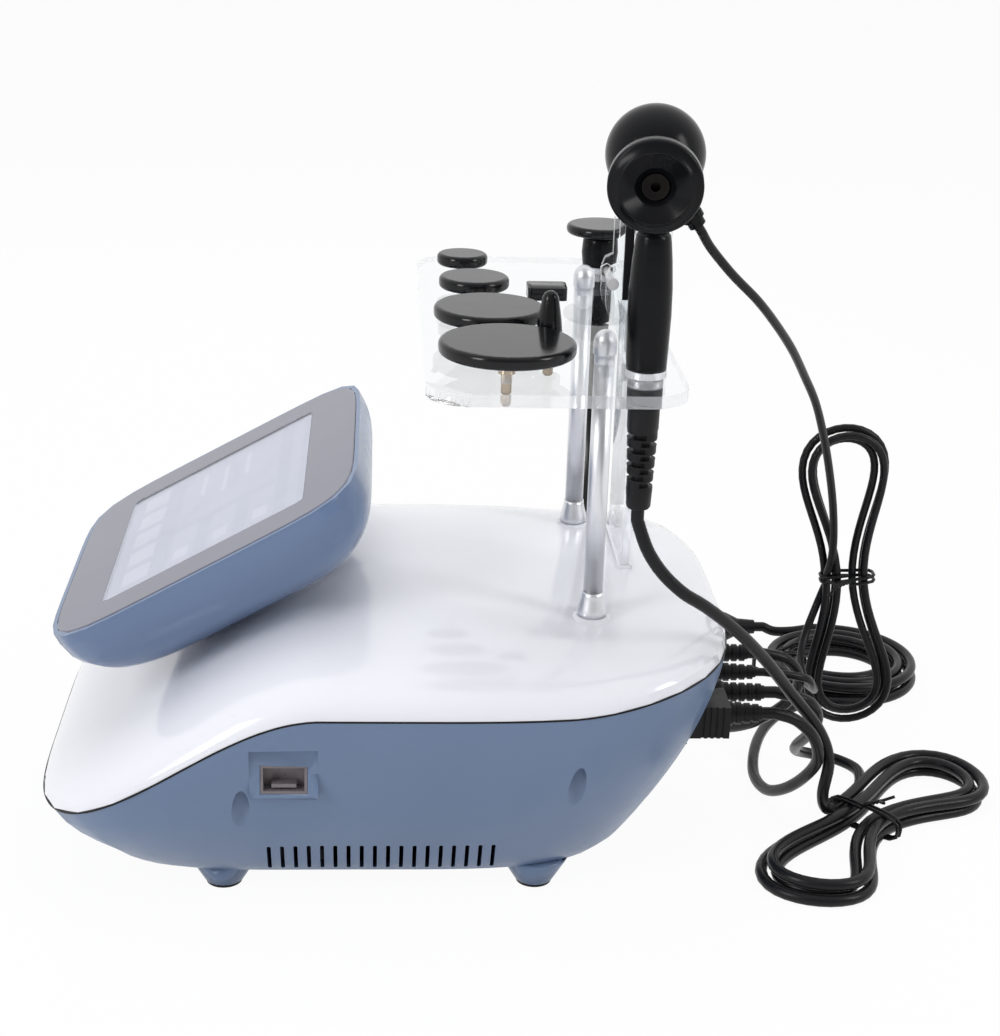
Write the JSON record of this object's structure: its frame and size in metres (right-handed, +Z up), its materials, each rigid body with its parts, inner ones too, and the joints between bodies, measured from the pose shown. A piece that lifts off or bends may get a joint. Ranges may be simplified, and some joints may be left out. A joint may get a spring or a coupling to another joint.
{
  "type": "physiotherapy unit with tilting display and handpiece tray",
  "caption": "Boat-shaped desktop therapy unit with a tilting display head, a clear tray of electrodes on posts, and corded handpieces with plugs and cords.",
  "frame": {"origin": "centre of the housing's outline on the table, under the foot pads", "axes": "+Z up, -Y towards the display's lower edge where the user stands, +X to the user's right"},
  "size_m": [0.4039, 0.5643, 0.435],
  "materials": {
    "shell_blue": "satin blue-grey moulding",
    "cover_white": "glossy pearl white",
    "black_rubber": "soft black",
    "black_plastic": "satin black",
    "chrome": "polished",
    "steel": "plated",
    "brass": "turned brass",
    "clear_acrylic": "clear acrylic with polished edges",
    "board": "circuit board",
    "aluminium": "extruded",
    "front_glass": "grey-bordered front glass",
    "screen": "lit screen"
  },
  "bodies": {
    "base": {"base_shell": "shell_blue", "top_cover": "cover_white", "foot_pads": "black_rubber", "case_screws": "steel", "service_socket": "black_plastic", "mains_inlet": "black_plastic", "output_sockets": "chrome", "power_supply": "steel", "generator_board": "board", "heat_sink": "aluminium", "fan_frame": "black_plastic", "hinge_bracket": "steel", "hinge_pin": "steel", "post_tubes": "chrome", "post_fittings": "chrome", "tray": "clear_acrylic", "rear_brace": "clear_acrylic", "palm_cradle": "clear_acrylic", "cradle_screws": "steel", "cradle_pad": "black_rubber", "handpiece_plugs": "black_rubber", "mains_connector": "black_rubber", "mains_plug": "black_rubber", "near_cord": "black_rubber", "near_hank": "black_rubber", "palm_cord": "black_rubber", "palm_hank": "black_rubber", "far_cord": "black_rubber", "far_hank": "black_rubber", "mains_cord": "black_rubber", "mains_coil": "black_rubber"},
    "head": {"head_shell": "shell_blue", "display_glass": "front_glass", "lcd_panel": "screen", "display_board": "board", "hinge_knuckle": "steel"},
    "rocker": {"power_rocker": "black_plastic"},
    "fan": {"fan_rotor": "black_plastic"},
    "electrode_70": {"disc_70": "black_plastic", "disc_70_pin": "brass"},
    "electrode_60": {"disc_60": "black_plastic", "disc_60_pin": "brass"},
    "electrode_40": {"disc_40": "black_plastic", "disc_40_pin": "brass"},
    "electrode_30": {"disc_30": "black_plastic", "disc_30_pin": "brass"},
    "electrode_bar": {"bar_electrode": "black_plastic", "bar_pin": "brass"},
    "electrode_cone": {"cone_electrode": "black_plastic", "cone_pin": "brass"},
    "near_handle": {"near_grip": "black_plastic", "near_ring": "chrome", "near_boot": "black_rubber"},
    "far_handle": {"far_grip": "black_plastic", "far_ring": "chrome", "far_boot": "black_rubber", "far_disc": "black_plastic"},
    "palm_handpiece": {"palm_ball": "black_plastic", "palm_flange": "black_plastic", "palm_socket": "brass"}
  },
  "joints": [
    {"name": "display_tilt", "type": "hinge", "parent": "base", "child": "head", "pos_m": [0, -0.10219, 0.15266], "axis": [1, 0, 0], "range_deg": [-6, 12]},
    {"name": "rocker_tilt", "type": "hinge", "parent": "base", "child": "rocker", "pos_m": [0.068, 0.166, 0.112], "axis": [1, 0, 0], "range_deg": [0, 14]},
    {"name": "fan_spin", "type": "hinge", "parent": "base", "child": "fan", "pos_m": [0.085, 0, 0.045], "axis": [1, 0, 0], "continuous": true},
    {"name": "lift_70", "type": "slide", "parent": "base", "child": "electrode_70", "axis": [0, 0, 1], "range_m": [0, 0.04]},
    {"name": "lift_60", "type": "slide", "parent": "base", "child": "electrode_60", "axis": [0, 0, 1], "range_m": [0, 0.04]},
    {"name": "lift_40", "type": "slide", "parent": "base", "child": "electrode_40", "axis": [0, 0, 1], "range_m": [0, 0.04]},
    {"name": "lift_30", "type": "slide", "parent": "base", "child": "electrode_30", "axis": [0, 0, 1], "range_m": [0, 0.04]},
    {"name": "lift_bar", "type": "slide", "parent": "base", "child": "electrode_bar", "axis": [0, 0, 1], "range_m": [0, 0.04]},
    {"name": "lift_cone", "type": "slide", "parent": "base", "child": "electrode_cone", "axis": [0, 0, 1], "range_m": [0, 0.04]},
    {"name": "near_handle_lift", "type": "slide", "parent": "base", "child": "near_handle", "axis": [0, 0, 1], "range_m": [0, 0.012], "deforming": ["near_cord"]},
    {"name": "far_handle_lift", "type": "slide", "parent": "base", "child": "far_handle", "axis": [0, 0, 1], "range_m": [0, 0.09], "deforming": ["far_cord"]},
    {"name": "palm_lift", "type": "slide", "parent": "base", "child": "palm_handpiece", "axis": [0, 0, 1], "range_m": [0, 0.06], "deforming": ["palm_cord"]}
  ]
}
